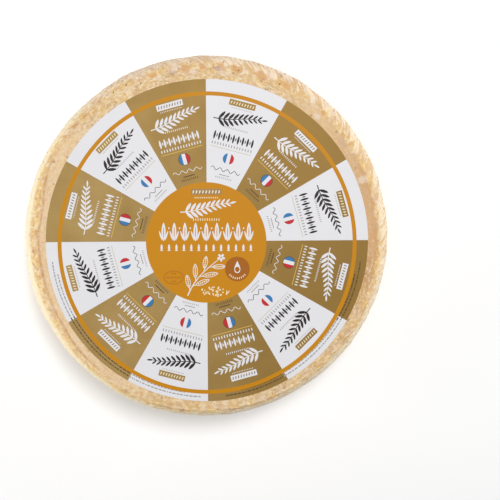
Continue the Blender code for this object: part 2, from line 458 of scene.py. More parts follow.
def rib_height(spot):
    """Height of the cloth's slanting ribs, from 0 in a groove to 1 on a ridge."""
    run = RIB_LEAN * min(spot.along, RIB_BEND) + RIB_SIDE_LEAN * max(0.0, spot.along - RIB_BEND)
    phase = RIB_COUNT * spot.clock + 2 * pi * run / RIB_PITCH + ripples(spot.point, RIB_WAVER)
    ridge = (0.5 + 0.5 * sin(phase)) ** 1.2
    return ridge * (0.8 + ripples(spot.point, RIB_NICKS))


def rib_strength(spot):
    """How clear the ribs are: faint on most of the rounded edge, clear in patches down the side."""
    patchy = smooth_step(-0.35, 0.35, noise.noise(spot.point / (29 * MM) + Vector((9.0, 2.0, 4.0))))
    on_edge = 0.12 + 0.28 * spot.top + 0.75 * facing(spot.clock, "ribbed")
    clear = on_edge + (0.8 - on_edge) * smooth_step(12 * MM, 20 * MM, spot.along)
    return spot.steep * clear * (0.6 + 0.4 * patchy) * (1.0 - 0.9 * spot.patch["tan"])


def curd_depth(spot):
    """Depth of the seams between grains of curd, and how far each grain is pressed in."""
    girth = WHEEL_RADIUS / CURD_STRETCH
    place = Vector((girth * cos(spot.angle), girth * sin(spot.angle), spot.along)) / CURD_LENGTH
    distances, grains = noise.voronoi(place)
    seam = smooth_step(0.34, 0.03, distances[1] - distances[0])
    pressed = 0.5 + 0.5 * noise.cell(grains[0] * 5.7)
    zone = spot.outside * spot.upper * (1.0 - 0.6 * spot.steep) * spot.free * (1.0 - 0.6 * spot.left)
    return CURD_DEPTH * zone * (seam + 0.35 * pressed)


def tear_depth(spot):
    """Depth of the thin tears, which run mostly along the rim."""
    flat = WHEEL_RADIUS * Vector((cos(spot.angle), sin(spot.angle), 0.0))
    stretched = flat + Vector((0.0, 0.0, 2.2 * spot.along))
    tear = 1.0 - smooth_step(0.0, 0.12, abs(noise.noise(stretched / (2.2 * TEAR_LENGTH))))
    kept = spot.outside * spot.free * (1.0 - spot.under)
    return TEAR_DEPTH * tear * kept * (1.0 - 0.5 * spot.steep) * (1.0 - 0.5 * spot.left)


def pit_cover(spot):
    """1 in the middle of a small hole. Only some cells of the noise hold one."""
    distances, cells = noise.voronoi(spot.point / PIT_SPACING)
    picked = noise.cell(cells[0] * 7.3 + Vector((0.5, 0.5, 0.5)))
    return smooth_step(0.20, 0.09, distances[0]) if picked > 0.45 else 0.0


def margin_height(spot):
    """Low ripples of the bare margin between the paper and the crease."""
    off_middle = hypot(spot.point.x - LABEL_MIDDLE.x, spot.point.y - LABEL_MIDDLE.y)
    bare = smooth_step(0.3 * MM, 2 * MM, off_middle - LABEL_RADIUS)
    return (1.0 + spot.top) * ripples(spot.point, MARGIN_RIPPLES) * spot.margin * bare


def fine_relief(spot):
    """The relief that the cloth and the torn curd leave, along the normal, with what colours it."""
    tan, gold = spot.patch["tan"], spot.patch["gold"]
    rib, strength, pit = rib_height(spot), rib_strength(spot), pit_cover(spot)
    grit = min(0.6, noise.fractal(spot.point / GRIT_LENGTH, 1.0, 2.0, 2))
    height = RIB_DEPTH * strength * (rib - 1.0) - RIB_SINK * spot.steep
    height -= curd_depth(spot) + tear_depth(spot)
    height -= PIT_DEPTH * pit * (0.35 + 0.65 * spot.outside) * (0.5 + 0.5 * spot.free)
    height += GRIT_HEIGHT * grit * spot.outside * (1.0 - 0.85 * tan) * (1.0 - 0.4 * spot.steep)
    height += GOLD_HEIGHT * gold - TAN_DEPTH * tan + margin_height(spot)

    out = spot.radius - crease_radius(spot.angle)
    creased = max(0.15, facing(spot.clock, "creased"), 0.45 * facing(spot.clock, "half_creased"))
    shown = creased * (0.6 + 0.6 * crease_strength(spot.angle)) if spot.upper > 0.5 else 0.0
    beyond_crease = smooth_step(3.5 * MM, 0.5 * MM, spot.along)
    folded = smooth_step(1.5 * MM, 4.5 * MM, spot.along)
    return height, spot.patch | {
        "crease": hump(out + 0.2 * MM, 1.0 * MM) * shown,
        "chain": hump(out - 3.7 * MM, 2.3 * MM) * facing(spot.clock, "chain") * spot.upper,
        # The ribs are also coloured: ridges pale, valleys ochre, partly the rind's own colour and partly
        # painted highlight and painted shade.
        "ridge": strength * max(0.0, 2.2 * rib - 1.0),
        "valley": strength * max(0.0, 1.0 - 2.2 * rib),
        "pit": pit,
        "flat": spot.margin * spot.upper,
        "edge": smooth_step(3.0 * MM, 9.0 * MM, spot.along),
        "top": spot.top * spot.upper,
        "left": spot.left,
        # Painted light: where this is high, the left side of the rounded edge is painted paler.
        "white": spot.left * smooth_step(4.6 * MM, 8.0 * MM, spot.along),
        "stroke": facing(spot.clock, "stroke") * folded * spot.upper,
        "smooth": facing(spot.clock, "smooth") * spot.margin,
        "brown": facing(spot.clock, "brown") * beyond_crease * spot.upper,
        "down": spot.along / MM,
        "base": spot.base,
    }


rings = spaced(rim_line())
points = []
marks = {}
for number, (radius, height, along) in enumerate(rings):
    before = rings[max(0, number - 1)]
    after = rings[min(len(rings) - 1, number + 1)]
    run = Vector((after[0] - before[0], 0.0, after[1] - before[1])).normalized()
    outward = Vector((-run.z, 0.0, run.x))
    for segment in range(WHEEL_SEGMENTS):
        angle = 2 * pi * segment / WHEEL_SEGMENTS
        cosine, sine = cos(angle), sin(angle)
        normal = Vector((outward.x * cosine, outward.x * sine, outward.z))
        place = follow_crease(Vector((radius * cosine, radius * sine, height)))
        relief, found = fine_relief(Spot(place, normal, along))
        shift = rind_shift(place, normal)
        off_the_foot = smooth_step(0.0, 3 * MM, height)
        points.append(place + shift + normal * (relief * off_the_foot))
        for name, amount in found.items():
            marks.setdefault(name, []).append(amount)
faces = []
for ring in range(len(rings) - 1):
    for segment in range(WHEEL_SEGMENTS):
        follows = (segment + 1) % WHEEL_SEGMENTS
        low, high = ring * WHEEL_SEGMENTS, (ring + 1) * WHEEL_SEGMENTS
        faces.append((low + segment, high + segment, high + follows, low + follows))


def even_grid(rows, spacing):
    """The corners of even triangles, this many rows to either side of the middle."""
    for row in range(-rows, rows + 1):
        for column in range(-rows, rows + 1):
            yield Vector(((column + 0.5 * (row % 2)) * spacing, row * spacing * sqrt(0.75)))


def fill_disc(points, faces, first, count, spacing, height_at, upward):
    """Closes a ring of points, which starts at first, with even triangles that lie height_at(x, y) high."""
    rim = points[first : first + count]
    reach = min(hypot(p.x, p.y) for p in rim) - 0.6 * spacing
    inside = [spot for spot in even_grid(int(reach / spacing) + 1, spacing) if spot.length < reach]
    flat = [Vector((p.x, p.y)) for p in rim] + inside
    edges = [(k, (k + 1) % count) for k in range(count)]
    corners, _, triangles, sources, _, _ = delaunay_2d_cdt(flat, edges, [], 0, 1e-9)
    index = []
    for corner, source in zip(corners, sources):
        if source and source[0] < count:
            index.append(first + source[0])
            continue
        index.append(len(points))
        points.append(Vector((corner.x, corner.y, height_at(corner.x, corner.y))))
    for triangle in triangles:
        order = triangle if upward else reversed(triangle)
        faces.append(tuple(index[k] for k in order))


def base_hollows(x, y):
    """The base rests on its rim and on low ridges, and the shelf's cloth has dented it between them."""
    spot = Vector((x, y, 0.0))
    dents = 0.22 * MM * (1.0 + noise.noise(spot / (19 * MM))) + 0.12 * MM * noise.noise(spot / (5 * MM))
    return max(0.0, dents) * smooth_step(WHEEL_RADIUS - 14 * MM, WHEEL_RADIUS - 24 * MM, spot.length)


def covered_top(x, y):
    return WHEEL_HEIGHT + top_swell(x, y)


last_ring = (len(rings) - 1) * WHEEL_SEGMENTS
fill_disc(points, faces, 0, WHEEL_SEGMENTS, 5 * MM, covered_top, True)
fill_disc(points, faces, last_ring, WHEEL_SEGMENTS, 4.2 * MM, base_hollows, False)
cheese_mesh = bpy.data.meshes.new("raclette_rind")
cheese_mesh.from_pydata(points, [], faces)
for name, amounts in marks.items():
    amounts += [1.0 if name in ("flat", "base") else 0.0] * (len(points) - len(amounts))
    layer = cheese_mesh.attributes.new(name, "FLOAT", "POINT")
    layer.data.foreach_set("value", amounts)
cheese_mesh.shade_smooth()
cheese = put("raclette_rind", cheese_mesh)


class Value:
    """A number that varies over a surface. Python's operators on it add Math nodes."""

    def __init__(self, finish, socket):
        self.finish = finish
        self.socket = socket

    def maths(self, operation, *values):
        return self.finish.node("Math", {"operation": operation}, dict(enumerate(values)))

    def __add__(self, other):
        return self.maths("ADD", self, other)

    __radd__ = __add__

    def __sub__(self, other):
        return self.maths("SUBTRACT", self, other)

    def __rsub__(self, other):
        return self.maths("SUBTRACT", other, self)

    def __mul__(self, other):
        return self.maths("MULTIPLY", self, other)

    __rmul__ = __mul__

    def sine(self):
        return self.maths("SINE", self)

    def __abs__(self):
        return self.maths("ABSOLUTE", self)

    def rise(self, low, high):
        """0 at low, 1 at high, with a smooth change between them."""
        sockets = {"Value": self, "From Min": low, "From Max": high}
        return self.finish.node("MapRange", {"interpolation_type": "SMOOTHSTEP"}, sockets)


class Finish:
    """A material that is being made. One method adds any node."""

    def __init__(self, name):
        self.material = bpy.data.materials.new(name)
        self.material.use_nodes = True
        self.tree = self.material.node_tree
        self.shader = self.tree.nodes["Principled BSDF"]
        self.place = self.node("TexCoord", {}, {}, "Object")

    def node(self, kind, settings, sockets, output=0):
        made = self.tree.nodes.new("ShaderNode" + kind)
        for name, value in settings.items():
            setattr(made, name, value)
        for name, value in sockets.items():
            self.feed(made.inputs[name], value)
        return Value(self, made.outputs[output])

    def feed(self, socket, value):
        if isinstance(value, Value):
            self.tree.links.new(value.socket, socket)
        else:
            socket.default_value = value

    def look(self, name, value):
        self.feed(self.shader.inputs[name], value)

    def mark(self, name):
        """What the mesh says of a spot under this name."""
        return self.node("Attribute", {"attribute_name": name}, {}, "Fac")

    def vectors(self, operation, sockets):
        return self.node("VectorMath", {"operation": operation}, sockets, "Vector")

    def cloud(self, length, detail=2.0, roughness=0.5, place=None):
        """Soft noise from 0 to 1 whose features are about this long."""
        sockets = {"Vector": place or self.place, "Scale": 1.0 / length}
        return self.node("TexNoise", {}, sockets | {"Detail": detail, "Roughness": roughness})

    def blend(self, share, first, second):
        """The first colour turning into the second as share goes from 0 to 1."""
        return self.node("Mix", {"data_type": "RGBA"}, {0: share, 6: first, 7: second}, 2)

    def emboss(self, height):
        """Bends the light as relief of this height in millimetres would."""
        sockets = {"Height": height, "Distance": MM, "Strength": 1.0}
        self.look("Normal", self.node("Bump", {}, sockets))


def shade(red, green, blue):
    """A colour as the eye reads it off a screen, from 0 to 255, made linear."""
    def linear(level):
        share = level / 255
        return share / 12.92 if share < 0.04045 else ((share + 0.055) / 1.055) ** 2.4
    return (linear(red), linear(green), linear(blue), 1.0)


rind = Finish("washed_rind")
on = {name: rind.mark(name) for name in marks}
level_place = rind.vectors("MULTIPLY", {0: rind.place, 1: (1.0, 1.0, 0.0)})
girth_place = rind.vectors("SCALE", {0: rind.vectors("NORMALIZE", {0: level_place}), "Scale": WHEEL_RADIUS})
RIM_STRETCH = 1.8  # the crumbs' length along the rim for their width
STROKE_SQUEEZE = 0.3  # the slanting folds' width for their length
drop_place = rind.node("CombineXYZ", {}, {"Z": on["down"] * (RIM_STRETCH * MM)})
rim_place = rind.vectors("ADD", {0: girth_place, 1: drop_place})
streaks = rind.node("Mix", {"data_type": "VECTOR"}, {0: on["base"], 4: rim_place, 5: rind.place}, 1)
drift = rind.cloud(60 * MM, 1.0).rise(0.36, 0.64)
hue = rind.cloud(9 * MM, 3.0, 0.6)
blotch = rind.cloud(6 * MM, 3.0, 0.6)
crumb = rind.cloud(3.8 * MM, 3.0, 0.7, streaks)
grit = rind.cloud(1.8 * MM, 2.0, 0.6)
lean = {"Vector": girth_place, "Angle": on["down"] * (-RIB_LEAN * MM / WHEEL_RADIUS)}
leant_place = rind.node("VectorRotate", {"rotation_type": "Z_AXIS"}, lean)
long_place = rind.node("CombineXYZ", {}, {"Z": on["down"] * (STROKE_SQUEEZE * MM)})
stroke = rind.cloud(4.2 * MM, 2.0, 0.5, rind.vectors("ADD", {0: leant_place, 1: long_place}))
calm = 1.0 - on["white"] * 0.75 - on["left"] * on["flat"] * 0.45  # less where the crumb is fainter
calm = calm - on["stroke"] * 0.5 - on["smooth"] * 0.5
broken = 0.25 + 0.75 * rind.cloud(5 * MM, 3.0, 0.7, streaks).rise(0.38, 0.58)
cracked = rind.cloud(11 * MM, 1.0).rise(0.52, 0.62)
crack = abs(rind.cloud(8 * MM, 2.0, 0.6, streaks) - 0.5).rise(0.016, 0.004) * cracked * calm
THREADS = 2 * pi / (1.7 * MM)  # of the pressing cloth, which lay askew
CLOTH_TURN = radians(24)
cloth = rind.node("VectorRotate", {"rotation_type": "Z_AXIS"}, {"Vector": rind.place, "Angle": CLOTH_TURN})
warp = rind.node("SeparateXYZ", {}, {0: cloth}, 0)
weft = rind.node("SeparateXYZ", {}, {0: cloth}, 1)
fray = rind.cloud(4 * MM, 2.0) * 2.5
weave = (warp * THREADS + fray).sine() * (weft * THREADS + fray).sine()
cloth_print = on["flat"] * (1.0 - on["top"] * 0.6)
# The pale rounded edge, painted darker and pinker towards the label's top as painted shade.
pale_edge_painted_shade = rind.blend(on["top"], shade(252, 239, 210), shade(238, 217, 196))
valley_tint_and_painted_shade = rind.blend(hue.rise(0.45, 0.58), shade(228, 184, 120), shade(222, 184, 160))
colour = rind.blend(drift, shade(229, 199, 146), shade(224, 191, 139))
for strength, tint in (  # each lies over those before it
    (hue.rise(0.50, 0.60) * 0.65, shade(230, 204, 186)),
    (hue.rise(0.50, 0.40) * 0.65, shade(234, 196, 122)),
    (blotch.rise(0.52, 0.64) * 0.50, shade(246, 229, 190)),
    (blotch.rise(0.47, 0.36) * 0.45, shade(214, 168, 116)),
    (on["flat"] * 0.40, shade(229, 199, 148)),
    # painted shade: the rounded edge is darker towards the top
    (on["edge"] * 0.80, pale_edge_painted_shade),
    # painted light: the left side's rounded edge and margin are painted paler
    (on["white"] * 0.75, shade(254, 238, 202)),
    (on["left"] * on["flat"] * 0.6, shade(245, 217, 178)),
    # ribs: partly the rind's own tones, partly painted shade in the valleys and painted highlight on the
    # ridges
    (on["valley"].rise(0.0, 0.6) * 0.60, valley_tint_and_painted_shade),
    (on["ridge"].rise(0.0, 0.7) * 0.65, shade(255, 244, 222)),
    (on["brown"] * 0.80, shade(201, 151, 94)),
    (on["chain"] * blotch.rise(0.40, 0.54) * 0.75, shade(241, 204, 128)),
    (on["gold"].rise(0.1, 0.9) * 0.65, shade(238, 197, 114)),
    (crumb.rise(0.52, 0.60) * calm * 0.60, shade(251, 236, 204)),
    (crumb.rise(0.48, 0.39) * calm * 0.55, shade(207, 158, 104)),
    (grit.rise(0.58, 0.70) * calm * 0.35, shade(196, 160, 148)),
    (grit.rise(0.42, 0.30) * calm * 0.35, shade(250, 232, 206)),
    (stroke.rise(0.52, 0.60) * on["stroke"] * 0.65, shade(253, 235, 209)),
    (stroke.rise(0.48, 0.40) * on["stroke"] * 0.60, shade(214, 171, 114)),
    (on["smooth"] * 0.45, shade(222, 186, 146)),
    (on["tan"].rise(0.15, 0.9) * (0.60 + crumb * 0.3), shade(217, 163, 104)),
    (on["mauve"] * 0.75, shade(178, 150, 146)),
    (on["pale"] * 0.75, shade(243, 228, 212)),
    (on["crease"].rise(0.05, 0.9) * broken * 0.9, shade(208, 156, 104)),
    (crack * 0.55, shade(164, 112, 78)),
    (on["pit"] * 0.80, shade(158, 112, 84)),
    ((0.5 - 0.5 * weave).rise(0.3, 0.9) * cloth_print * 0.4, shade(204, 162, 118)),
):
    colour = rind.blend(strength, colour, tint)
rind.look("Base Color", colour)
rind.look("Roughness", 0.66 + crumb * 0.2 - on["tan"] * 0.16)
rind.look("Specular IOR Level", 0.3)
fine = weave * cloth_print * 0.05 + crumb * calm * 0.5 + grit * calm * 0.12
rind.emboss(fine + stroke * on["stroke"] * 0.8 + blotch * 0.4 - crack * 0.15)
cheese_mesh.materials.append(rind.material)
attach(cheese, "root")
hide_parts("cheese_wheel")

# The mustard seeds. The curd is mixed with whole brown seeds, and some of them lie half sunk in the rind.
# Each is a small flattened ball pressed into the surface where the wheel's mesh is.
SEED_PLACES = (  # degrees clockwise from the label's top, and millimetres from the axis
    (-63.7, 137.0), (-32.7, 138.1), (-27.6, 137.8), (-22.9, 133.7), (-18.1, 128.9), (-9.2, 137.4),
    (-4.8, 141.5), (-3.5, 134.0), (5.8, 141.5), (11.0, 136.2), (25.6, 136.4),
)
STREWN_SEEDS = 46
seed_dice = random.Random(8)
seed_shape = bmesh.new()
top_rings = [number for number, ring in enumerate(rings) if ring[2] < 20 * MM]


def sow(ring, segment, size):
    """Presses one seed of this radius into the rind at a point of the wheel's mesh."""
    at = ring * WHEEL_SEGMENTS + segment
    beside = ring * WHEEL_SEGMENTS + (segment + 1) % WHEEL_SEGMENTS
    below = min(len(rings) - 1, ring + 1) * WHEEL_SEGMENTS + segment
    outward = (points[below] - points[at]).cross(points[beside] - points[at]).normalized()
    turn = outward.to_track_quat("Z", "Y").to_matrix().to_4x4()
    flattened = Matrix.Diagonal((size * seed_dice.uniform(1.0, 1.3), size, size * 0.75, 1.0))
    spun = Matrix.Rotation(seed_dice.uniform(0.0, pi), 4, "Z")
    settled = Matrix.Translation(points[at] - outward * (0.4 * size)) @ turn @ spun @ flattened
    bmesh.ops.create_icosphere(seed_shape, subdivisions=2, radius=1.0, matrix=settled)


def off_place(ring, segment, away):
    """How far a point of the mesh lies from this distance to the axis, in millimetres."""
    return abs(hypot(*points[ring * WHEEL_SEGMENTS + segment][:2]) / MM - away)


for clock, away in SEED_PLACES:
    segment = round((90 - clock) % 360 / 360 * WHEEL_SEGMENTS) % WHEEL_SEGMENTS
    nearest = min(top_rings, key=lambda ring: off_place(ring, segment, away))
    sow(nearest, segment, seed_dice.uniform(0.6, 0.8) * MM)
for number in range(STREWN_SEEDS):
    ring = seed_dice.randrange(top_rings[-1] - 18, len(rings) - 12)  # on the side, clear of the base
    segment = seed_dice.randrange(WHEEL_SEGMENTS)
    sow(ring, segment, seed_dice.uniform(0.5, 0.8) * MM)
for face in seed_shape.faces:
    face.smooth = True
seed_mesh = bpy.data.meshes.new("mustard_seeds")
seed_shape.to_mesh(seed_mesh)
seed_shape.free()
seeds = put("mustard_seeds", seed_mesh)
husk = Finish("seed_husk")
husk_tone = husk.cloud(9 * MM, 1.0).rise(0.4, 0.6)
husk_fleck = husk.cloud(0.5 * MM, 2.0)
husk_colour = husk.blend(husk_tone, shade(124, 78, 66), shade(162, 110, 70))
husk_colour = husk.blend(husk_fleck.rise(0.5, 0.7) * 0.4, husk_colour, shade(190, 144, 104))
husk.look("Base Color", husk_colour)
husk.look("Roughness", 0.5 + husk_fleck * 0.2)
husk.emboss(husk_fleck * 0.05)
seed_mesh.materials.append(husk.material)
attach(seeds, "root")

# The label. One thin round sheet of coated paper, printed in twelve sectors, gold ink and bare white by
# turns, with an orange ring near its edge and an orange disc in its middle. It lies on the flat top and
# follows its waves. The print is cut into the sheet's mesh, so that every edge of it is sharp.
PAPER_THICKNESS = 0.26 * MM
PAPER_REST = 0.05 * MM  # it stands this clear of the fine relief of the rind
PAPER_COCKLE = 0.14 * MM
PRINT_SLIP = Vector((-0.4, -1.1))  # how far the print's middle lies off the paper's, in millimetres
LABEL_SEGMENTS = 360
SHEET_SPACING = 4.5  # of the sheet's mesh where there is no print
SHEET_ROWS = 34
SECTORS = 12
RING_HALF_SPANS = (119.05, 120.45)  # the drawing is in millimetres from the print's middle
RING_HUB = (0.6, -0.8)  # the ring is printed a little out of round and off the middle
RING_WIDTH = 3.2
RING_STEPS = 240
DISC_EDGE = 48.6
SECTOR_HUB = (0.6, 1.2)  # gold and black were printed a little off the orange
SECTOR_TWIST = radians(-0.4)
printed = []  # an ink and an outline each, and each lies over those before it


def turned_to(clock, outline):
    """An outline drawn as for the top of the label, turned clockwise round the label's middle."""
    cosine, sine = cos(clock), sin(clock)
    return [(u * cosine + v * sine, v * cosine - u * sine) for u, v in outline]


def block(u, v, wide, high):
    """A rectangle about its middle."""
    return [(u + wide / 2 * x, v + high / 2 * y) for x, y in ((-1, -1), (1, -1), (1, 1), (-1, 1))]


def oval(u, v, wide, high, lean=0.0, tip=0.0, corners=16):
    """An oval of this full width and height, leaning clockwise. Tip draws out its two ends to points."""
    outline = []
    for corner in range(corners):
        turn = 2 * pi * corner / corners
        across = wide / 2 * sin(turn) * abs(sin(turn)) ** tip
        outline.append((across, high / 2 * cos(turn)))
    return [(u + x, v + y) for x, y in turned_to(lean, outline)]


def oval_row(u, v, count, pitch, wide, high, lean=0.0, tip=0.0, corners=8):
    """A row of equal ovals, side by side about its middle."""
    places = [u + pitch * (number - (count - 1) / 2) for number in range(count)]
    return [oval(place, v, wide, high, lean, tip, corners) for place in places]


def strokes(path, width):
    """The triangles of a pen stroke along a path. Width takes the share of the way along."""
    sides = []
    for step, (u, v) in enumerate(path):
        before, after = path[max(0, step - 1)], path[min(len(path) - 1, step + 1)]
        du, dv = after[0] - before[0], after[1] - before[1]
        half = width(step / (len(path) - 1)) / 2 / hypot(du, dv)
        sides.append(((u - dv * half, v + du * half), (u + dv * half, v - du * half)))
    pieces = []
    for a, b in zip(sides, sides[1:]):
        pieces += [(a[0], a[1], b[1]), (a[0], b[1], b[0])]
    return pieces


def on_sector(clock, outline):
    """An outline turned to a sector, and moved with the sectors' hub."""
    return [(u + SECTOR_HUB[0], v + SECTOR_HUB[1]) for u, v in turned_to(clock + SECTOR_TWIST, outline)]


def doubled_area(outline):
    """Twice the area inside an outline, negative where it runs clockwise."""
    return sum(a[0] * b[1] - b[0] * a[1] for a, b in zip(outline, outline[1:] + outline[:1]))


def lay_print(ink, outlines, clock=None):
    """Prints outlines on the disc or on the sector at a clock angle, apart from those too thin to see."""
    for outline in outlines:
        if abs(doubled_area(outline)) > 0.001:
            printed.append((ink, outline if clock is None else on_sector(clock, outline)))


def leaf_sprig(u, v, scale):
    """A rising sprig with its leaves in pairs, smaller towards the tip, 38 mm long at full scale."""
    def stem(x):
        return 0.17 * x + 0.9 * sin(x / 6.5)

    pieces = strokes([(0.5 * x, stem(0.5 * x)) for x in range(-38, 37)], lambda share: 0.8 - 0.4 * share)
    for number in range(9):
        x = -15.0 + 3.75 * number
        long = 7.8 - 0.42 * number
        for side in (-1, 1):
            lean = radians(90 - 9.7 - side * (50 - 1.5 * number))
            centre = (x + long / 2 * sin(lean), stem(x) + long / 2 * cos(lean))
            pieces.append(oval(*centre, 0.30 * long, long, lean, 0.5))
    pieces.append(oval(20.3, stem(18.0) + 0.4, 1.4, 5.0, radians(76), 0.5))
    return [[(u + scale * x, v + scale * y) for x, y in piece] for piece in pieces]


def kernel_row(v, count, pitch, wide, high):
    """A frieze of upright pointed kernels, each with a small one between it and the next."""
    large = oval_row(0.0, v, count, pitch, wide, high, 0.0, 0.35, 16)
    return large + oval_row(0.0, v, count - 1, pitch, wide * 0.55, high * 0.42, 0.0, 0.35, 10)


def dash_row(v, count, wide, high):
    """A row of small upright dashes."""
    pitch = wide / (count - 1)
    return [block(pitch * number - wide / 2, v, 0.36 * pitch, high) for number in range(count)]


def wavy_line(v, wide):
    """A thin even wave."""
    path = [(wide * step / 60 - wide / 2, v + 1.2 * sin(0.42 * step)) for step in range(61)]
    return strokes(path, lambda share: 0.45)


def rim_points(radius, first, last, steps):
    """Points of an arc, clockwise from the top."""
    turns = [first + (last - first) * step / steps for step in range(steps + 1)]
    return [(radius * sin(turn), radius * cos(turn)) for turn in turns]


def towards(turn):
    """A step of 1 mm, turned clockwise from straight up."""
    return (sin(turn), cos(turn))


def onward(start, ray, distance):
    """The point this far from another along a ray."""
    return (start[0] + distance * ray[0], start[1] + distance * ray[1])


paper_edge = rim_points(LABEL_RADIUS / MM, 0.0, 2 * pi, LABEL_SEGMENTS)[:-1]
printed.append(("white", [(u - PRINT_SLIP.x, v - PRINT_SLIP.y) for u, v in paper_edge]))
for sector in range(1, SECTORS, 2):
    first = 2 * pi * sector / SECTORS
    arc = rim_points(LABEL_RADIUS / MM + 6.0, 0.0, 2 * pi / SECTORS, 12)
    printed.append(("gold", on_sector(first, [(0.0, 0.0)] + arc)))

# Two arcs of very small print, two lines each, between the ring and the label's edge. They are runs of
# dashes: how far out each line lies, and the degrees at its first and last dash.
SMALL_PRINT = ((125.3, 182, 263), (122.7, 188, 258), (125.3, 97, 172), (122.7, 102, 166))
print_dice = random.Random(17)
for radius, first, last in SMALL_PRINT:
    at = radians(first)
    while at < radians(last):
        on_gold = int(degrees(at) // 30) % 2 == 1
        long = print_dice.uniform(0.9, 3.2) / radius
        inner = rim_points(radius - 0.5, at, at + long, 1)
        outer = rim_points(radius + 0.5, at, at + long, 1)
        printed.append(("umber" if on_gold else "grey", [inner[0], outer[0], outer[1], inner[1]]))
        at += long + print_dice.uniform(0.5, 0.9) / radius

ring_sides = []
for off in (-RING_WIDTH / 2, RING_WIDTH / 2):
    half_wide, half_high = (span + off for span in RING_HALF_SPANS)
    circle = rim_points(1.0, 0.0, 2 * pi, RING_STEPS)
    ring_sides.append([(RING_HUB[0] + half_wide * x, RING_HUB[1] + half_high * y) for x, y in circle])
inner, outer = ring_sides
for step in range(RING_STEPS):
    printed.append(("orange", [inner[step], outer[step], outer[step + 1], inner[step + 1]]))

# A sector: a banner, a sprig, a frieze of kernels, dashes and a rule, a tricolour roundel, and a wave. The
# rows lie this many millimetres from the hub of the sectors.
BANNER_ROW = 113.0
DOT_ROW = 109.0
SPRIG_ROW = 101.0
SMALL_DASH_ROW = 92.6
KERNEL_ROW = 84.6
DASH_ROW = 78.4
RULE_ROW = 75.4
ROUNDEL_ROW = 68.3
WAVE_ROW = 58.6
ROUNDEL_RADIUS = 4.5
ROUNDEL_BANDS = (("blue", -1.0, -0.33), ("white", -0.33, 0.33), ("red", 0.33, 1.0))


def roundel_band(low, high):
    """The part of the roundel between two upright lines, given as shares of its radius."""
    first, last = asin(low), asin(high)
    upper = [(ROUNDEL_RADIUS * x, ROUNDEL_RADIUS * y) for x, y in rim_points(1.0, first, last, 8)]
    lower = [(x, -y) for x, y in reversed(upper)]
    joined = upper + lower[1 if high == 1.0 else 0 : -1 if low == -1.0 else None]
    return [(x, ROUNDEL_ROW + y) for x, y in joined]


for sector in range(SECTORS):
    clock = radians((sector + 0.5) * 360 / SECTORS)
    on_gold = sector % 2 == 1
    if on_gold:
        strong, faint, band, tick, rule = "white", "white", "white", "brown", "yellow"
    else:
        strong, faint, band, tick, rule = "black", "grey", "gold", "cream", "sand"
    lay_print(band, [block(0.0, BANNER_ROW, 21.6, 4.8)], clock)
    lay_print(tick, oval_row(0.0, BANNER_ROW, 9, 2.25, 1.0, 2.9, 0.25, 0.2), clock)
    lay_print(faint, oval_row(0.0, DOT_ROW, 13, 1.4, 0.7, 0.9), clock)
    lay_print(strong, leaf_sprig(-0.4, SPRIG_ROW, 1.03), clock)
    lay_print(faint, dash_row(SMALL_DASH_ROW, 12, 18.0, 1.4), clock)
    lay_print(strong, kernel_row(KERNEL_ROW, 9, 3.9, 1.7, 7.2), clock)
    lay_print(faint, dash_row(DASH_ROW, 15, 32.0, 2.2), clock)
    lay_print(rule, [block(0.0, RULE_ROW, 34.0, 0.5)], clock)
    if on_gold:
        lay_print("umber", [oval(0.0, ROUNDEL_ROW, 9.9, 9.9, corners=28)], clock)
    for ink, low, high in ROUNDEL_BANDS:
        lay_print(ink, [roundel_band(low, high)], clock)
    lay_print(strong, wavy_line(WAVE_ROW, 24.0), clock)
    if on_gold:
        lay_print("umber", [block(0.0, 54.4, 9.4, 0.8)] + dash_row(51.8, 9, 13.0, 1.9), clock)
    else:
        lay_print("brown", [block(0.0, 54.6, 8.6, 0.5)], clock)
        lay_print("grey", dash_row(52.2, 9, 12.4, 1.4), clock)

# The disc in the middle: a banner, the sprig again, two friezes, a branch of mustard with pods and loose
# seeds, a dark badge with a drop, and a plain outlined oval.
DISC_BANNER_ROW = 40.9
BRANCH_STEPS = 24
PODS = ((3, -1, 11.0), (6, 1, 12.5), (9, -1, 12.0), (12, 1, 13.0), (15, -1, 10.5), (18, 1, 11.0))
LOOSE_SEEDS = 46
BADGE = (25.1, -21.3)
PLAIN_OVAL = (-26.2, -28.2)
lay_print("orange", [rim_points(DISC_EDGE, 0.0, 2 * pi, 150)[:-1]])
lay_print("taupe", [block(0.0, DISC_BANNER_ROW, 24.4, 4.6)])
lay_print("cream", oval_row(0.0, DISC_BANNER_ROW, 9, 2.6, 1.2, 3.2, 0.25, 0.2))
lay_print("cream", oval_row(0.0, 36.2, 13, 1.5, 0.8, 1.3))
lay_print("white", leaf_sprig(-0.4, 28.2, 1.08))
lay_print("cream", dash_row(18.6, 12, 20.5, 2.0))
lay_print("white", oval_row(0.0, 8.7, 9, 8.6, 3.4, 15.0, 0.0, 0.55, 26))
for side in (-1, 1):
    lay_print("white", oval_row(2.3 * side, 5.6, 9, 8.6, 1.4, 8.4, 0.32 * side, 0.5, 14))
lay_print("orange", oval_row(0.0, 8.4, 9, 8.6, 0.7, 9.4, 0.0, 0.4, 12))
lay_print("white", oval_row(0.0, 11.6, 8, 8.6, 1.2, 1.5, corners=10))
lay_print("white", oval_row(0.0, -4.0, 13, 6.0, 1.8, 5.6, 0.0, 0.5, 14))
lay_print("white", [block(6.0 * (number - 6), -6.4, 2.4, 0.6) for number in range(13)])
stalk = []
for step in range(BRANCH_STEPS + 1):
    share = step / BRANCH_STEPS
    stalk.append((-15.0 + 27.0 * share - 4.0 * sin(pi * share), -43.0 + 31.0 * share))
lay_print("white", strokes(stalk, lambda share: 1.0 - 0.5 * share))
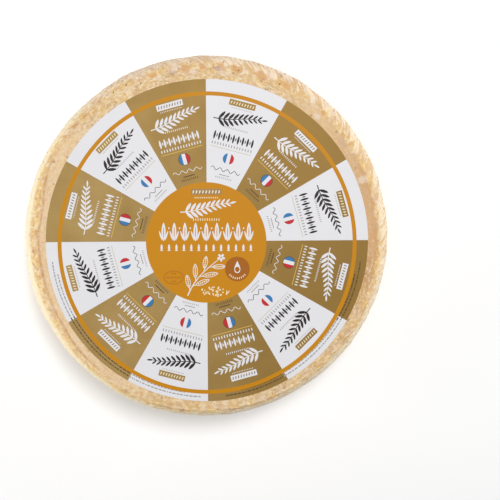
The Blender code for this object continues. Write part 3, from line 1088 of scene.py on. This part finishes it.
for step, side, long in PODS:
    root, ahead = stalk[step], stalk[step + 1]
    lean = atan2(ahead[0] - root[0], ahead[1] - root[1]) + side * radians(38)
    ray = towards(lean)
    lay_print("white", strokes([root, onward(root, ray, 3.0)], lambda share: 0.6))
    centre = onward(root, ray, 2.4 + long / 2)
    lay_print("white", [oval(*centre, 4.0, long, lean, 0.4, 26)])
    lay_print("orange", [oval(*centre, 2.9, long - 2.0, lean, 0.4, 26)])
    for seed in (-2, -1, 0, 1, 2):
        lay_print("cream", [oval(*onward(centre, ray, 1.65 * seed), 1.3, 1.4, lean, corners=10)])
for petal in range(5):
    lean = 2 * pi * petal / 5 + 0.6
    lay_print("white", [oval(*onward(stalk[-1], towards(lean), 1.9), 1.9, 2.9, lean)])
lay_print("orange", [oval(*stalk[-1], 1.3, 1.3, corners=10)])
for number in range(LOOSE_SEEDS):
    turn = print_dice.uniform(0.0, 2 * pi)
    away = sqrt(print_dice.random())
    place = (7.0 + 12.0 * away * cos(turn), -39.5 + 4.2 * away * sin(turn))
    size = print_dice.uniform(1.0, 1.5)
    lay_print("cream", [oval(*place, size, size * 1.1, turn, corners=8)])
lay_print("russet", [oval(*BADGE, 20.0, 20.0, corners=48)])
drop = []
for corner in range(28):
    turn = 2 * pi * corner / 28
    across = 3.4 * sin(turn) * sin(turn / 2) ** 1.4
    drop.append((BADGE[0] + across, BADGE[1] + 1.7 + 5.0 * cos(turn)))
lay_print("white", [drop])
lay_print("russet", [oval(BADGE[0], BADGE[1] - 0.3, 3.6, 4.4)])
for number in range(9):
    turn = radians(180 + 13 * (number - 4))
    place = onward(BADGE, towards(turn), 7.6)
    lay_print("cream", [oval(*place, 0.9, 1.9, turn, corners=8)])
lay_print("russet", [oval(*PLAIN_OVAL, 15.8, 11.0, corners=36)])
lay_print("orange", [oval(*PLAIN_OVAL, 14.9, 10.1, corners=36)])
for rise, count in ((3.3, 3), (0.0, 9), (-3.3, 3)):
    lay_print("russet", oval_row(PLAIN_OVAL[0], PLAIN_OVAL[1] + rise, count, 1.4, 0.8, 1.3))


def paper_height(x, y):
    """Height of the sheet's underside."""
    share = hypot(x - LABEL_MIDDLE.x, y - LABEL_MIDDLE.y) / LABEL_RADIUS
    cockle = 0.5 + 0.5 * noise.noise(Vector((x, y, 0.0)) / (21 * MM) + Vector((4.0, 4.0, 4.0)))
    return WHEEL_HEIGHT + top_swell(x, y) + PAPER_REST + PAPER_COCKLE * cockle * share * share


flat = []
outlines = []
for ink, outline in printed:
    ordered = outline if doubled_area(outline) > 0 else outline[::-1]
    outlines.append(list(range(len(flat), len(flat) + len(ordered))))
    flat += [Vector(corner) for corner in ordered]
for spot in even_grid(SHEET_ROWS, SHEET_SPACING):
    if (spot + PRINT_SLIP).length < LABEL_RADIUS / MM - 0.7 * SHEET_SPACING:
        flat.append(spot)
corners, _, triangles, _, _, covers = delaunay_2d_cdt(flat, [], outlines, 0, 1e-5)
sheet_points = []
for corner in corners:
    x = LABEL_MIDDLE.x + (corner.x + PRINT_SLIP.x) * MM
    y = LABEL_MIDDLE.y + (corner.y + PRINT_SLIP.y) * MM
    sheet_points.append(Vector((x, y, paper_height(x, y) + PAPER_THICKNESS)))
INKS = {
    "white": (shade(231, 230, 233), 0.0),
    "gold": (shade(147, 115, 56), 0.2),
    "orange": (shade(202, 135, 6), 0.0),
    "black": (shade(44, 38, 36), 0.0),
    "umber": (shade(92, 70, 44), 0.0),
    "grey": (shade(166, 162, 162), 0.0),
    "brown": (shade(150, 128, 100), 0.0),
    "taupe": (shade(160, 128, 92), 0.0),
    "russet": (shade(168, 98, 22), 0.0),
    "cream": (shade(240, 226, 190), 0.0),
    "yellow": (shade(222, 184, 96), 0.0),
    "sand": (shade(206, 198, 172), 0.0),
    "blue": (shade(58, 122, 178), 0.0),
    "red": (shade(196, 44, 48), 0.0),
}
GOLD_PAINTED_SHEEN = shade(188, 158, 102)  # painted sheen: the gold ink is painted brighter towards the label's lower left, as a lamp's reflection
PAINTED_SHEEN_SLOPE = (-9.0, -2.0, 0.0)
ink_names = list(INKS)
sheet_faces = []
sheet_inks = []
for triangle, covering in zip(triangles, covers):
    if 0 in covering:  # the paper itself is the first outline
        sheet_faces.append(tuple(triangle))
        sheet_inks.append(ink_names.index(printed[max(covering)][0]))
edges = {}  # a dictionary keeps them in order
for face in sheet_faces:
    edges.update(dict.fromkeys(zip(face, face[1:] + face[:1])))
rim_edges = {a: b for a, b in edges if (b, a) not in edges}
rim = [next(iter(rim_edges))]
while rim_edges[rim[-1]] != rim[0]:
    rim.append(rim_edges[rim[-1]])
under = len(sheet_points)
for top in rim:
    x, y, _ = sheet_points[top]
    sheet_points.append(Vector((x, y, paper_height(x, y))))
for step, top in enumerate(rim):
    follows = (step + 1) % len(rim)
    sheet_faces.append((top, under + step, under + follows, rim[follows]))
    sheet_inks.append(0)
before = len(sheet_faces)
fill_disc(sheet_points, sheet_faces, under, len(rim), 9 * MM, paper_height, False)
sheet_inks += [0] * (len(sheet_faces) - before)
used = sorted({corner for face in sheet_faces for corner in face})
renumbered = {corner: number for number, corner in enumerate(used)}
paper_mesh = bpy.data.meshes.new("printed_label")
paper_mesh.from_pydata(
    [sheet_points[corner] for corner in used],
    [],
    [tuple(renumbered[corner] for corner in face) for face in sheet_faces],
)
paper_mesh.polygons.foreach_set("material_index", sheet_inks)
for ink_name, (ink_colour, metal) in INKS.items():
    ink = Finish(ink_name + "_print")
    fibre = ink.cloud(0.9 * MM, 3.0, 0.6)
    mottle = ink.cloud(26 * MM, 2.0)
    darker = tuple(level * 0.93 for level in ink_colour[:3]) + (1.0,)
    # Painted sheen: the gold's base colour turns brighter along a slope towards the label's lower left.
    if ink_name == "gold":
        slope = {0: ink.place, 1: PAINTED_SHEEN_SLOPE}
        leftness = ink.node("VectorMath", {"operation": "DOT_PRODUCT"}, slope, 1)
        painted_sheen = (leftness + mottle * 0.5).rise(-0.5, 1.3)
        ink_colour = ink.blend(painted_sheen, ink_colour, GOLD_PAINTED_SHEEN)
    ink.look("Base Color", ink.blend(mottle * 0.6 + fibre * 0.4, darker, ink_colour))
    ink.look("Roughness", 0.46 + fibre * 0.12)
    ink.look("Metallic", metal)
    ink.look("Specular IOR Level", 0.18)
    ink.emboss(fibre * 0.012 + ink.cloud(9 * MM, 2.0) * 0.10)
    paper_mesh.materials.append(ink.material)
paper = put("printed_label", paper_mesh)
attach(paper, "root")
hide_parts("paper_label")
